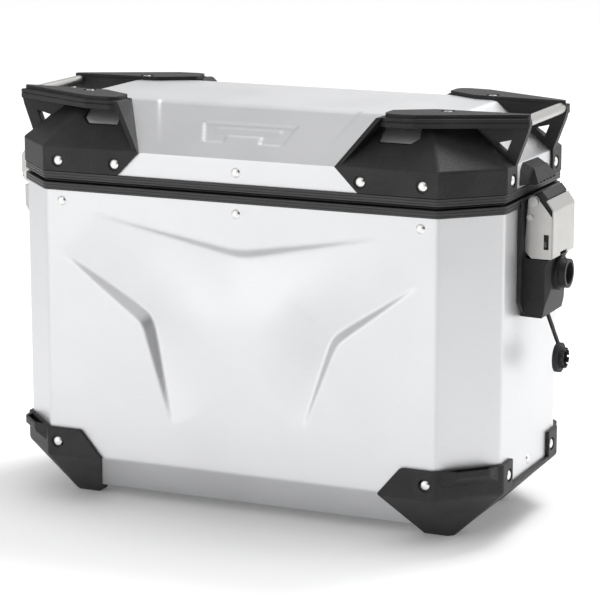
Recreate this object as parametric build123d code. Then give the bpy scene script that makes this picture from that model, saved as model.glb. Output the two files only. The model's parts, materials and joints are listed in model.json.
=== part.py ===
from build123d import *
import math
import os

# Hard aluminium luggage case for a motorcycle: a folded body, a hinged lid, plastic corner
# guards that end in lashing handles on the lid, a draw latch with a lock on the right side
# and a pin hinge on the left. Millimetres, +X right, +Y to the back, +Z up. Heights count from
# just under the body; the feet reach foot_drop lower, and save() lifts every node by that much.

# --- overall sizes ---------------------------------------------------------------------
case_width = 474.0
case_depth = 235.0
corner_cut = 44.6
sheet = 1.5
bend_z = 42.3
bottom_inset = 41.0
seam_z = 299.0
lid_bend_z = 331.4
lid_top_z = 373.6
lid_inset_x = 52.0
lid_inset_y = 46.9
lid_corner_top = 19.5

# --- edge frames and seal --------------------------------------------------------------
rim_height = 7.0
rim_proud = 2.0
rim_cap = 2.0
rim_reach = 9.0
seal_height = 3.2
seal_gap = 0.3
seal_recess = 1.0

# --- corner guards ---------------------------------------------------------------------
guard = 3.5
handle_skin = 2.4
foot_drop = 5.0
foot_corner_cut = 4.0
floor_z = guard
fit_gap = 0.2
foot_guard_top = 67.8
foot_guard_inner_in = 77.1
foot_guard_point_in = 98.7
foot_guard_toe_in = 70.9
foot_flange_y = 50.0
bumper_out = 11.5
bumper_half = 33.0
bumper_face_half = 16.0
bumper_height = 7.0
bumper_wall = 2.2
bumper_pocket = 6.0
handle_low_in = 119.5
handle_bend_in = 141.1
handle_top_in = 110.0
handle_flange_y = 48.0
slot_inner_in = 108.5
slot_outer_in = 75.0
slot_low_z = 352.0
slot_point_in = 72.0
slot_point_z = 356.6
beam_low_z = 365.5
beam_front_in = 18.0
beam_bend_in = 76.0
beam_wall = 5.0
plate_thickness = 3.4
plate_back_in = 66.5
plate_inner_back_in = 44.1
tip_in = -15.0
tip_front_in = 62.0
tip_drop = 13.0
gusset_thickness = 8.0
gusset_overlap = 4.0
gusset_back_in = 70.5
end_wall = 5.0
plate_corner = 2.6
plate_round = 9.0
island_inset = 3.5
groove_depth = 0.7
groove_height = 0.8
groove_drop = 3.6
bar_radius = 5.0
bar_in = -9.0

# --- fasteners -------------------------------------------------------------------------
head_radius = 4.4
head_height = 1.6
shank_radius = 2.0
hole_gap = 0.05
recess_radius = 6.2
guard_recess = 1.2
handle_recess = 1.0
plate_recess = 1.8
lid_rivet_z = 319.6
lid_rivet_in = (58.7, 116.7)
side_rivet_share = 0.426
body_rivet_z = 282.1
body_rivet_in = 60.8
foot_rivet_z = 54.5
foot_rivet_in = 53.3
plate_screw_side_in = 59.6
plate_screw_depth_in = 60.0

# --- hinge on the left side ------------------------------------------------------------
pin_out = 21.5
pin_z = 288.5
pin_radius = 3.0
running_gap = 0.06
knuckle = 7.0
hinge_half = 33.0
hinge_sheet = 1.5
hinge_out = 29.5
side_gap = 0.5

# --- latch and lock on the right side --------------------------------------------------
base_half = 39.0
base_thickness = 3.5
housing_half = 28.0
housing_out = 25.5
housing_edge_out = 22.0
housing_crown_half = 20.0
housing_low_z = 193.0
housing_top_z = 246.0
plate_sheet = 1.5
cover_half = 29.5
cover_out = 30.0
pivot_out = 11.3
pivot_z = 297.0
pivot_radius = 2.5
cheek_half = 29.0
cheek_round = 5.4
lock_z = 229.6
barrel_out = 36.0
barrel_radius = 13.2
collar_radius = 15.5
bore_radius = 10.0
cylinder_radius = 7.0
cylinder_gap = 0.05
keyway_depth = 8.0
plug_length = 4.5
strap_sheet = 2.2
strap_half = 2.5

# --- rear rack fixing ------------------------------------------------------------------
rack_spacing_x = 260.0
rack_spacing_z = 150.0
rack_centre_z = 170.0
rack_boss_radius = 17.0
rack_boss_height = 5.0
rack_hole_radius = 4.25

half_w = case_width / 2
half_d = case_depth / 2
lid_rim_low = seam_z + seal_gap + seal_height
lid_rim_top = lid_rim_low + rim_height
body_edge_z = seam_z - rim_cap
lid_edge_z = lid_rim_low + rim_cap
guard_low_z = lid_rim_top + fit_gap
origin_x = (barrel_out - hinge_out) / 2
foot_guard_inner = half_w - foot_guard_inner_in
foot_guard_point = half_w - foot_guard_point_in
foot_guard_toe = half_w - foot_guard_toe_in
handle_low_x = half_w - handle_low_in
handle_bend_x = half_w - handle_bend_in
handle_top_x = half_w - handle_top_in
slot_inner_x = half_w - slot_inner_in
slot_outer_x = half_w - slot_outer_in
slot_point_x = half_w - slot_point_in
beam_bend_x = half_w - beam_bend_in
tip_x = half_w - tip_in
bar_x = half_w - bar_in
body_rivet_x = half_w - body_rivet_in
foot_rivet_x = half_w - foot_rivet_in
plate_screw_x = half_w - plate_screw_side_in
beam_front_y = half_d - beam_front_in
plate_back_y = half_d - plate_back_in
plate_inner_back_y = half_d - plate_inner_back_in
tip_front_y = half_d - tip_front_in
gusset_back_y = half_d - gusset_back_in
plate_screw_y = half_d - plate_screw_depth_in
lid_rivet_x = tuple(half_w - inward for inward in lid_rivet_in)
corner_y = half_d - corner_cut
side_rivet_y = handle_flange_y + side_rivet_share * (corner_y - handle_flange_y)

os.makedirs("parts", exist_ok=True)


def save(name, shape):
    """Write one node, moved so that the origin is on the floor under the middle of the object."""
    export_step(Pos(-origin_x, 0, foot_drop) * shape, f"parts/{name}.step")


def merged(pieces):
    """Join solids that touch into one clean shape."""
    result = pieces[0]
    for piece in pieces[1:]:
        result = result + piece
    return result.clean()


def octagon(x, y, cut, z):
    """A rectangle of half sizes x and y with its corners cut off, at height z."""
    quarter = [(x, y - cut), (x - cut, y)]
    points = []
    for sx, sy, flip in ((1, 1, 1), (-1, 1, -1), (-1, -1, 1), (1, -1, -1)):
        points += [(sx * px, sy * py, z) for px, py in quarter[::flip]]
    return Face(Wire.make_polygon([Vector(*p) for p in points]))


def stack(levels):
    """Straight lofts through octagons given as (x, y, cut, z), joined into one solid."""
    faces = [octagon(*level) for level in levels]
    return merged([loft([a, b], ruled=True) for a, b in zip(faces, faces[1:])])


def body_form(grow, top):
    """The body's outside, moved outward by grow, up to a given height."""
    mitre = grow * math.tan(math.radians(22.5))
    cut = corner_cut + grow * (2 - math.sqrt(2))
    low_cut = corner_cut - (bottom_inset - mitre) * (2 - math.sqrt(2))
    low = (half_w - bottom_inset + mitre, half_d - bottom_inset + mitre, low_cut, floor_z - grow)
    bend = (half_w + grow, half_d + grow, cut, bend_z - mitre)
    return stack([low, bend, (half_w + grow, half_d + grow, cut, top)])


def lid_form(grow, low):
    """The lid's outside, moved outward by grow, from a given height."""
    slope = math.atan2(lid_top_z - lid_bend_z, lid_inset_y)
    rise = grow * math.tan((math.pi / 2 - slope) / 2)
    run = grow * math.tan(slope / 2)
    cut = corner_cut + grow * (2 - math.sqrt(2))
    top_cut = lid_corner_top + run * (2 - math.sqrt(2))
    wide = (half_w + grow, half_d + grow, cut)
    top = (half_w - lid_inset_x + run, half_d - lid_inset_y + run, top_cut, lid_top_z + grow)
    return stack([(*wide, low), (*wide, lid_bend_z + rise), top])


def ring(outer, inner, low, high):
    """A band round the case between two outward offsets and two heights."""
    cut_out = corner_cut + outer * (2 - math.sqrt(2))
    cut_in = corner_cut + inner * (2 - math.sqrt(2))
    outside = stack([(half_w + outer, half_d + outer, cut_out, z) for z in (low, high)])
    inside = stack([(half_w + inner, half_d + inner, cut_in, z) for z in (low, high)])
    return outside - inside


def front_prism(points, y_low, y_high):
    """An outline in X and Z carried along Y."""
    face = Face(Wire.make_polygon([Vector(x, y_low, z) for x, z in points]))
    return Solid.extrude(face, Vector(0, y_high - y_low, 0))


def side_prism(points, x_low, x_high):
    """An outline in Y and Z carried along X."""
    face = Face(Wire.make_polygon([Vector(x_low, y, z) for y, z in points]))
    return Solid.extrude(face, Vector(x_high - x_low, 0, 0))


def plan_prism(points, z_low, z_high):
    """An outline in X and Y carried along Z."""
    face = Face(Wire.make_polygon([Vector(x, y, z_low) for x, y in points]))
    return Solid.extrude(face, Vector(0, 0, z_high - z_low))


def block(x0, x1, y0, y1, z0, z1):
    """A box between two corners."""
    return Pos((x0 + x1) / 2, (y0 + y1) / 2, (z0 + z1) / 2) * Box(x1 - x0, y1 - y0, z1 - z0)


def rod(centre, direction, radius, length):
    """A cylinder that starts at a point and runs along a direction."""
    plane = Plane(origin=centre, z_dir=direction)
    return plane * Cylinder(radius, length, align=(Align.CENTER, Align.CENTER, Align.MIN))


def four_corners(shape):
    """Mirror the front right piece to all four corners, named by place."""
    right = {"front": shape, "rear": mirror(shape, Plane.XZ)}
    named = {}
    for place, piece in right.items():
        named[f"{place}_right"] = piece
        named[f"{place}_left"] = mirror(piece, Plane.YZ)
    return named


def rivet(point, direction, grip):
    """A domed rivet: its head stands on the surface at a point, its shank runs inward."""
    dome = Cylinder(head_radius, head_height, align=(Align.CENTER, Align.CENTER, Align.MIN))
    dome = chamfer(dome.edges().group_by(Axis.Z)[-1], head_height * 0.45)
    shank = Pos(0, 0, -grip) * Cylinder(shank_radius, grip, align=(Align.CENTER, Align.CENTER, Align.MIN))
    return Plane(origin=point, z_dir=direction) * (dome + shank)


def drilled(shape, places):
    """Cut the clearance hole of each fastener given as point, direction and grip."""
    for point, direction, grip in places:
        inward = tuple(-value for value in direction)
        start = tuple(p + 2 * d for p, d in zip(point, direction))
        shape = shape - rod(start, inward, shank_radius + hole_gap, grip + 3)
    return shape


def recessed(shape, places, radius):
    """Cut a round recess outward from each fastener's seat."""
    for point, direction, grip in places:
        shape = shape - rod(point, direction, radius, 12)
    return shape


# --- rivets and screws -----------------------------------------------------------------
def on_faces(xs, z, out, grip):
    """Fastener places at x values on the front and the rear face."""
    return [((x, side * (half_d + out), z), (0, side, 0), grip) for x in xs for side in (-1, 1)]


def on_sides(ys, z, out, grip):
    """Fastener places at y values on the left and the right face."""
    return [((side * (half_w + out), y, z), (side, 0, 0), grip) for y in ys for side in (-1, 1)]


def both(values):
    """Each value and its mirror."""
    return [side * value for value in values for side in (-1, 1)]


foot_seat = guard - guard_recess
handle_seat = handle_skin - handle_recess
through_foot = foot_seat + sheet + 1.0
through_handle = handle_seat + sheet + 1.0
through_sheet = sheet + 1.0
plate_top = lid_top_z + fit_gap + plate_thickness
body_places = on_faces((-body_rivet_x, 0, body_rivet_x), body_rivet_z, 0, through_sheet)
body_places += on_sides((0,), foot_rivet_z, 0, through_sheet)
foot_places = on_faces(both((foot_rivet_x,)), foot_rivet_z, foot_seat, through_foot)
foot_places += on_sides(both((side_rivet_y,)), foot_rivet_z, foot_seat, through_foot)
handle_places = on_faces(both(lid_rivet_x), lid_rivet_z, handle_seat, through_handle)
handle_places += on_sides(both((side_rivet_y,)), lid_rivet_z, handle_seat, through_handle)
lid_places = on_faces((0,), lid_rivet_z, 0, through_sheet)
screw_seat = plate_top - plate_recess
screw_places = []
for x in both((plate_screw_x,)):
    for y in both((plate_screw_y,)):
        screw_places.append(((x, y, screw_seat), (0, 0, 1), plate_thickness - plate_recess + sheet + 1.0))
plate_screws = []
for point, direction, grip in screw_places:
    socket = rod((point[0], point[1], screw_seat + head_height * 0.3), direction, 1.9, head_height)
    plate_screws.append(rivet(point, direction, grip) - socket)
save("body_rivets", Compound(children=[rivet(*place) for place in body_places]))
save("foot_guard_rivets", Compound(children=[rivet(*place) for place in foot_places]))
save("handle_rivets", Compound(children=[rivet(*place) for place in handle_places]))
save("lid_rivets", Compound(children=[rivet(*place) for place in lid_places]))
save("handle_screws", Compound(children=plate_screws))


def minus(shape, tools):
    """Cut every tool from a shape."""
    for tool in tools:
        shape = shape - tool
    return shape


# --- body ------------------------------------------------------------------------------
body_shell = body_form(0, body_edge_z) - body_form(-sheet, seam_z + 20)
rack_holes = []
rack_bosses = []
for sx in (-1, 1):
    for sz in (-1, 1):
        at = (sx * rack_spacing_x / 2, half_d, rack_centre_z + sz * rack_spacing_z / 2)
        through = rod((at[0], at[1] - sheet - 1, at[2]), (0, 1, 0), rack_hole_radius, rack_boss_height + 4)
        rack_holes.append(through)
        rack_bosses.append(rod(at, (0, 1, 0), rack_boss_radius, rack_boss_height) - through)
body_shell = minus(drilled(body_shell, body_places + foot_places), rack_holes)
save("body_shell", body_shell)
save("rack_bosses", Compound(children=rack_bosses))

body_rim = ring(rim_proud, 0, seam_z - rim_height, seam_z)
body_rim = body_rim + ring(0.0, -rim_reach, body_edge_z, seam_z)
body_rim = body_rim + ring(-sheet, -2 * sheet, body_edge_z - rim_height, body_edge_z)
save("body_rim", body_rim.clean())

# --- foot guards -----------------------------------------------------------------------
def foot_form():
    """The foot guard's outside: the body's shape moved outward, with a sharper corner below."""
    mitre = guard * math.tan(math.radians(22.5))
    steepness = bottom_inset / (bend_z - floor_z)
    shrink = (bend_z - mitre + foot_drop) * steepness
    wide = (half_w + guard, half_d + guard, corner_cut + guard * (2 - math.sqrt(2)))
    low = (half_w + guard - shrink, half_d + guard - shrink, foot_corner_cut, -foot_drop)
    return stack([low, (*wide, bend_z - mitre), (*wide, foot_guard_top)])


def bumper():
    """The raised bar with an open pocket on a foot guard's corner face, with tapered ends."""
    low_z = foot_guard_top - bumper_height
    taper = bumper_half - bumper_face_half
    under = bumper_out * 0.9
    outer = [(bumper_half, 0), (bumper_face_half, bumper_out), (-bumper_face_half, bumper_out)]
    outer += [(-bumper_half, 0)]
    bar = plan_prism(outer, low_z, foot_guard_top)
    skirt_face = Face(Wire.make_polygon([Vector(x, y, low_z) for x, y in outer]))
    toe = [(bumper_half, 0), (bumper_half - 2, 0.3), (2 - bumper_half, 0.3), (-bumper_half, 0)]
    toe_face = Face(Wire.make_polygon([Vector(x, y, low_z - under) for x, y in toe]))
    bar = bar + loft([toe_face, skirt_face], ruled=True)
    inner_half = bumper_face_half + taper * 0.25
    pocket = [(inner_half, bumper_wall + 1), (bumper_face_half - 2, bumper_out - bumper_wall)]
    pocket += [(2 - bumper_face_half, bumper_out - bumper_wall), (-inner_half, bumper_wall + 1)]
    bar = bar - plan_prism(pocket, foot_guard_top - bumper_pocket, foot_guard_top + 1)
    middle = corner_cut / 2
    return Pos(half_w - middle, -half_d + middle, 0) * Rot(0, 0, -135) * bar


inside = body_form(0, foot_guard_top + 10)
jacket = foot_form() - inside
far = half_w + 40
below = -foot_drop - 1
window = [(foot_guard_inner, foot_guard_top), (foot_guard_point, bend_z)]
window += [(foot_guard_toe, below), (far, below), (far, foot_guard_top)]
foot_guard = jacket & front_prism(window, -half_d - 20, -foot_flange_y)
under = plan_prism([(0, 0), (0, -60), (foot_guard_toe + 12, -60), (far, 0)], below, floor_z)
foot_guard = foot_guard - under
foot_guard = merged([foot_guard, bumper() - inside])
foot_guard = recessed(drilled(foot_guard, foot_places), foot_places, recess_radius)
for place, piece in four_corners(foot_guard).items():
    save(f"foot_guard_{place}", piece)

sill = body_form(guard, bend_z + 2) - body_form(0, foot_guard_top)
sill = sill & block(half_w - bottom_inset + 8, far, -foot_flange_y, foot_flange_y, floor_z, bend_z + 2)
save("sill_right", sill)
save("sill_left", mirror(sill, Plane.YZ))

# --- lid -------------------------------------------------------------------------------
lid_shell = lid_form(0, lid_edge_z) - lid_form(-sheet, seam_z)
lid_shell = drilled(lid_shell, lid_places + handle_places + screw_places)
save("lid_shell", lid_shell)

lid_rim = ring(rim_proud, 0, lid_rim_low, lid_rim_top)
lid_rim = lid_rim + ring(0.0, -rim_reach, lid_rim_low, lid_edge_z)
lid_rim = lid_rim + ring(-sheet, -2 * sheet, lid_edge_z, lid_edge_z + rim_height)
save("lid_rim", lid_rim.clean())
save("lid_seal", ring(-seal_recess, -rim_reach + 1, seam_z + seal_gap, lid_rim_low))


# --- lid guards with handles -----------------------------------------------------------
def handle_guard():
    """Front right guard: skirt on the lid, bridge over the finger slot, outrigger for the bar."""
    inner = lid_form(0, seam_z)
    skirt = lid_form(handle_skin, guard_low_z) - inner
    top_z = lid_top_z + fit_gap
    edge = [(handle_low_x, guard_low_z), (handle_bend_x, lid_bend_z), (handle_top_x, lid_top_z)]
    area = edge + [(far, lid_top_z), (far, guard_low_z)]
    skirt = skirt & front_prism(area, -half_d - 20, -handle_flange_y)
    slot = [(slot_inner_x, slot_low_z), (slot_outer_x - 4, slot_low_z), (slot_point_x, slot_point_z)]
    slot += [(slot_outer_x, beam_low_z + 6), (slot_inner_x, beam_low_z + 6)]
    skirt = skirt - front_prism(slot, -half_d - 20, -beam_front_y / 2)
    back = [(tip_x - 1.5, -gusset_back_y), (handle_top_x + 36, -plate_back_y)]
    outline = [(handle_top_x, -beam_front_y + plate_round)]
    outline += [(handle_top_x + plate_corner, -beam_front_y + plate_corner)]
    outline += [(handle_top_x + plate_round, -beam_front_y), (beam_bend_x, -beam_front_y + 1.5)]
    outline += [(tip_x, -tip_front_y), *back, (handle_top_x, -plate_inner_back_y)]
    ledge_y = -beam_front_y + island_inset
    ledge_x = handle_top_x + island_inset
    island = [(ledge_x, ledge_y + plate_round), (ledge_x + plate_corner, ledge_y + plate_corner)]
    island += [(ledge_x + plate_round, ledge_y), (beam_bend_x - 1, ledge_y + 1.5)]
    island += [(tip_x - 2.5, -tip_front_y + island_inset), *back, (ledge_x, -plate_inner_back_y + 2.2)]
    plate = plan_prism(island, top_z, plate_top)
    fascia = plan_prism(outline, beam_low_z, top_z)
    inside = [(handle_top_x - 9, -beam_front_y + beam_wall), (beam_bend_x, -beam_front_y + beam_wall + 1.5)]
    inside += [(tip_x + 2, -tip_front_y + beam_wall + 1), (tip_x + 2, 0), (handle_top_x - 9, 0)]
    fascia = fascia - plan_prism(inside, beam_low_z - 1, top_z + 1)
    strip = [(handle_bend_x, lid_bend_z), (handle_top_x, top_z), (handle_top_x + end_wall, top_z)]
    strip += [(handle_bend_x + end_wall, lid_bend_z)]
    wall = front_prism(strip, -half_d - guard, -plate_inner_back_y)
    wall_back = -plate_inner_back_y - 4
    flank = [(-half_d - handle_skin, lid_bend_z), (-beam_front_y, top_z), (wall_back, top_z)]
    flank += [(wall_back, lid_bend_z)]
    wall = (wall & side_prism(flank, 0, far)) - inner
    low = lid_bend_z + 1.0
    lid_side = half_w - lid_inset_x - gusset_overlap
    rig = [(half_w + handle_skin, low), (tip_x - 2, top_z - tip_drop), (tip_x, top_z - 5)]
    rig += [(tip_x - 1.5, top_z), (lid_side, top_z), (lid_side, low)]
    gusset = front_prism(rig, -gusset_back_y - gusset_thickness, -gusset_back_y) - inner
    hole = [(half_w - 1.5, 354.5), (half_w - 15.5, 351.0), (half_w - 6.0, 343.3)]
    gusset = gusset - front_prism(hole, -half_d, 0)
    body = merged([skirt, plate, fascia, wall, gusset])
    edge_face = Face(Wire.make_polygon([Vector(x, y, 0) for x, y in outline]))
    core = offset(edge_face, -groove_depth, kind=Kind.INTERSECTION)
    low_z = top_z - groove_drop
    band = plan_prism(outline, low_z, low_z + groove_height)
    band = band - Pos(0, 0, low_z - 1) * extrude(core, groove_height + 2, dir=(0, 0, 1))
    body = body - (band & block(0, far, -half_d, -gusset_back_y - gusset_thickness, 0, 400))
    places = handle_places + screw_places
    return recessed(drilled(body, places), places, recess_radius)


for place, piece in four_corners(handle_guard()).items():
    save(f"handle_guard_{place}", piece)

bar_z = lid_top_z - bar_radius + 1.5
bar_half = gusset_back_y
for side, name in ((1, "right"), (-1, "left")):
    bar = rod((side * bar_x, -bar_half, bar_z), (0, 1, 0), bar_radius, 2 * bar_half)
    bar = bar - rod((side * bar_x, -bar_half, bar_z), (0, 1, 0), bar_radius - 1.5, 2 * bar_half)
    save(f"tie_bar_{name}", bar)

# --- hinge -----------------------------------------------------------------------------
pin_x = -half_w - pin_out
hinge_face = -half_w - hinge_out
leaf_low = lid_rim_top + fit_gap + 0.3
arch = [(hinge_face, pin_z + 3), (hinge_face, pin_z + 19), (hinge_face + 5, pin_z + 25)]
arch += [(-half_w, lid_bend_z - 1.5), (-half_w, leaf_low), (-half_w - 3, leaf_low), (-half_w - 3, seam_z + 1)]
arch += [(pin_x + 5, pin_z - 5), (pin_x - 5, pin_z - 4)]
hood_in = [(hinge_face + hinge_sheet, pin_z - 30), (hinge_face + hinge_sheet, pin_z + 18.4)]
hood_in += [(hinge_face + 5.6, pin_z + 23.3), (-half_w - hinge_sheet, lid_bend_z - 3.5)]
hood_in += [(-half_w - hinge_sheet, pin_z - 30)]
leaf = front_prism(arch, -hinge_half, hinge_half)
leaf = leaf - front_prism(hood_in, -hinge_half + hinge_sheet, hinge_half - hinge_sheet)
for side in (-1, 1):
    start = side * hinge_half if side < 0 else hinge_half - hinge_sheet
    leaf = leaf + rod((pin_x, start, pin_z), (0, 1, 0), knuckle, hinge_sheet)
pin_hole = rod((pin_x, -hinge_half - 5, pin_z), (0, 1, 0), pin_radius + running_gap, 2 * hinge_half + 10)
leaf_edge_z = pin_z + 3.5
leaf_inner = hinge_half - hinge_sheet
leaf = leaf - block(hinge_face - 1, pin_x, -leaf_inner, leaf_inner, pin_z - 10, leaf_edge_z)
leaf = (leaf - pin_hole).clean()
save("lid_hinge_leaf", leaf)

inner_half = hinge_half - hinge_sheet - side_gap
bracket_edge_z = pin_z - (pin_x - hinge_face) - 2.4
cheek = [(-half_w, pin_z - 40), (hinge_face + 8, pin_z - 40), (hinge_face + 2, pin_z - 30)]
cheek += [(hinge_face + 2, pin_z - 14), (pin_x - 6, pin_z - 2), (pin_x + 6, pin_z + 3), (-half_w - 3, pin_z - 1)]
cheek += [(-half_w, pin_z - 1)]
hollow = [(-half_w - 2, pin_z - 45), (hinge_face + 10, pin_z - 45), (hinge_face + 3.5, pin_z - 30.5)]
hollow += [(hinge_face + 3.5, pin_z - 16), (hinge_face + 3.5, pin_z + 20), (-half_w - 2, pin_z + 20)]
bracket = front_prism(cheek, -inner_half, inner_half)
bracket = bracket - front_prism(hollow, -inner_half + hinge_sheet, inner_half - hinge_sheet)
bracket = bracket - block(-half_w - 3 - rim_proud, 0, -99, 99, seam_z - rim_height - 0.3, seam_z + 10)
bracket = bracket - block(-far, pin_x - 2, -99, 99, bracket_edge_z, seam_z)
for start in (-inner_half, inner_half - hinge_sheet):
    bracket = bracket + rod((pin_x, start, pin_z), (0, 1, 0), knuckle - 1, hinge_sheet)
bracket = (bracket - pin_hole).clean()
save("hinge_bracket", bracket)
pin = rod((pin_x, -hinge_half - 0.3, pin_z), (0, 1, 0), pin_radius, 2 * hinge_half + 0.6)
for start, direction in ((-hinge_half - 0.3, -1), (hinge_half + 0.3, 1)):
    pin = pin + rod((pin_x, start, pin_z), (0, direction, 0), pin_radius + 1.8, 2.0)
save("hinge_pin", pin.clean())

# --- latch housing ---------------------------------------------------------------------
wall_x = half_w
step_z = seam_z - rim_height - fit_gap
base = [(wall_x, housing_low_z + 2), (wall_x, step_z), (wall_x + rim_proud + fit_gap, step_z)]
base += [(wall_x + rim_proud + fit_gap, seam_z), (wall_x + base_thickness, seam_z)]
base += [(wall_x + base_thickness, housing_low_z + 2)]
shape = [(-base_half, housing_low_z + 14), (12 - base_half, housing_low_z + 2), (base_half - 12, housing_low_z + 2)]
shape += [(base_half, housing_low_z + 14), (base_half, seam_z), (-base_half, seam_z)]
base_plate = front_prism(base, -base_half, base_half) & side_prism(shape, wall_x - 1, far)
profile = [(wall_x, housing_low_z), (wall_x + 16.7, housing_low_z - 0.5), (wall_x + 21.8, housing_low_z + 23)]
profile += [(wall_x + housing_edge_out, lock_z + 8.7), (wall_x + housing_edge_out + 4, housing_top_z - 1)]
profile += [(wall_x, housing_top_z)]
housing = front_prism(profile, -housing_half, housing_half)
plan = [(wall_x, -housing_half), (wall_x + housing_edge_out, -housing_half)]
plan += [(wall_x + housing_out, -housing_crown_half), (wall_x + housing_out, housing_crown_half)]
plan += [(wall_x + housing_edge_out, housing_half), (wall_x, housing_half)]
crown = [(wall_x, housing_low_z), (wall_x + 20.2, housing_low_z - 0.5), (wall_x + 25.3, housing_low_z + 23)]
crown += [(wall_x + housing_out, lock_z + 8.7), (wall_x + housing_out + 0.5, housing_top_z - 1)]
crown += [(wall_x, housing_top_z)]
shield = front_prism(crown, -base_half, base_half) & plan_prism(plan, housing_low_z - 5, housing_top_z)
housing = housing + shield
lock_axis = (wall_x, 0, lock_z)
collar = rod((wall_x + housing_out, 0, lock_z), (1, 0, 0), collar_radius, 4.0)
barrel = rod((wall_x + housing_out, 0, lock_z), (1, 0, 0), barrel_radius, barrel_out - housing_out)
housing = merged([base_plate, housing, collar, barrel])
housing = housing - rod((wall_x + barrel_out - 9, 0, lock_z), (1, 0, 0), bore_radius, 20)
housing = housing - rod(lock_axis, (1, 0, 0), cylinder_radius + cylinder_gap, barrel_out)
cavity = block(wall_x + 2, wall_x + 12, -housing_half + 4, housing_half - 4, lock_z - 14, lock_z + 13)
housing = housing - cavity
save("latch_housing", housing)

cylinder_front = wall_x + barrel_out - 9.5
cylinder = rod((wall_x + 8, 0, lock_z), (1, 0, 0), cylinder_radius, cylinder_front - wall_x - 8)
key_slot = block(cylinder_front - keyway_depth, cylinder_front + 1, -1.2, 1.2, lock_z - 4.5, lock_z + 4.5)
save("lock_cylinder", cylinder - key_slot)
cam = block(wall_x + 4.5, wall_x + 8, -5, 5, lock_z - 11, lock_z + 5)
save("lock_cam", cam)

# --- latch bracket ---------------------------------------------------------------------
pivot_x = wall_x + pivot_out
cheek_in = wall_x + base_thickness
cheek_out = wall_x + cover_out - plate_sheet - fit_gap
side_cheek = [(cheek_in, housing_top_z + 6), (cheek_in + 6, housing_top_z), (cheek_out, housing_top_z)]
side_cheek += [(cheek_out, pivot_z - 13), (pivot_x + cheek_round, pivot_z + 1)]
side_cheek += [(pivot_x - cheek_round, pivot_z + 1), (cheek_in, pivot_z - 38)]
bolt = rod((pivot_x, -99, pivot_z), (0, 1, 0), pivot_radius + running_gap, 200)
latch_bracket = front_prism(side_cheek, -cheek_half, cheek_half)
latch_bracket = latch_bracket - block(cheek_in + plate_sheet, far, -cheek_half + plate_sheet,
                                      cheek_half - plate_sheet, 0, 400)
cheek_slot = block(wall_x + 21, wall_x + 25.5, -99, 99, pivot_z - 42, pivot_z - 29)
for start in (-cheek_half, cheek_half - plate_sheet):
    latch_bracket = latch_bracket + rod((pivot_x, start, pivot_z), (0, 1, 0), cheek_round, plate_sheet)
latch_bracket = (latch_bracket - bolt - cheek_slot).clean()
save("latch_bracket", latch_bracket)
pivot = rod((pivot_x, -cheek_half - 0.3, pivot_z), (0, 1, 0), pivot_radius, 2 * cheek_half + 0.6)
for start, direction in ((-cheek_half - 0.3, -1), (cheek_half + 0.3, 1)):
    pivot = pivot + rod((pivot_x, start, pivot_z), (0, direction, 0), pivot_radius + 1.8, 1.8)
save("latch_pivot_pin", pivot.clean())
stop_screws = []
for side in (-1, 1):
    at = (pivot_x - 3.4, side * cheek_half, pivot_z - 14)
    stop_screws.append(rod(at, (0, side, 0), 2.8, 1.6))
save("latch_bracket_screws", Compound(children=stop_screws))

# --- latch lever -----------------------------------------------------------------------
cover_face = wall_x + cover_out
knee_z = pivot_z - 7
cover = [(cover_face - plate_sheet, housing_top_z + 1), (cover_face, housing_top_z + 1), (cover_face, knee_z)]
cover += [(pivot_x + 12.4, pivot_z + 2.0), (pivot_x + 11.2, pivot_z + 1.2), (cover_face - plate_sheet, knee_z)]
latch_cover = front_prism(cover, -cover_half, cover_half)
latch_cover = latch_cover - block(cover_face - 5, cover_face + 5, -9, 9, housing_top_z, housing_top_z + 4)
save("latch_cover", latch_cover)

core_half = cheek_half - plate_sheet - side_gap
core = [(cover_face - plate_sheet, housing_top_z + 3), (cover_face - plate_sheet, knee_z)]
core += [(pivot_x + 11.2, pivot_z + 1.2), (pivot_x + 11.9, pivot_z + 3.4), (pivot_x + 6.7, pivot_z + 9.5)]
core += [(pivot_x + 4.0, pivot_z + 8.0), (pivot_x - 4.0, pivot_z + 4.0), (pivot_x - 4.0, pivot_z - 5.0)]
core += [(cover_face - 9, knee_z - 8), (cover_face - 7, housing_top_z + 3)]
latch_core = front_prism(core, -core_half, core_half) - bolt
latch_core = latch_core - block(cover_face - 12, cover_face - plate_sheet - 2, -core_half + 3, core_half - 3,
                                housing_top_z + 6, knee_z - 4)
save("latch_core", latch_core.clean())

# --- catch on the lid ------------------------------------------------------------------
catch_low = lid_rim_top + 2.2
back_out = [(-37, catch_low), (37, catch_low), (35, 318), (12, 330.5), (-29, lid_bend_z), (-35, 326)]
face_out = [(-26, catch_low), (26, catch_low), (23, 315), (18, 324), (-18, 325.2), (-23, 315)]
catch_back = Face(Wire.make_polygon([Vector(wall_x, y, z) for y, z in back_out]))
catch_front = Face(Wire.make_polygon([Vector(wall_x + 7, y, z) for y, z in face_out]))
catch = loft([catch_back, catch_front], ruled=True)
lip = front_prism([(wall_x + 6, 325), (wall_x + 7, 325), (wall_x + 14, catch_low + 1),
                   (wall_x + 13, catch_low), (wall_x + 6, catch_low)], -26, 26)
flare = side_prism([(-26, catch_low), (26, catch_low), (18, 325), (-18, 325)], wall_x, far)
catch = merged([catch, lip & flare])
for index in range(5):
    y = -18 + 9 * index
    catch = catch - block(wall_x + 8, wall_x + 20, y - 1.5, y + 1.5, catch_low - 1, catch_low + 2)
save("lid_catch", catch)

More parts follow.
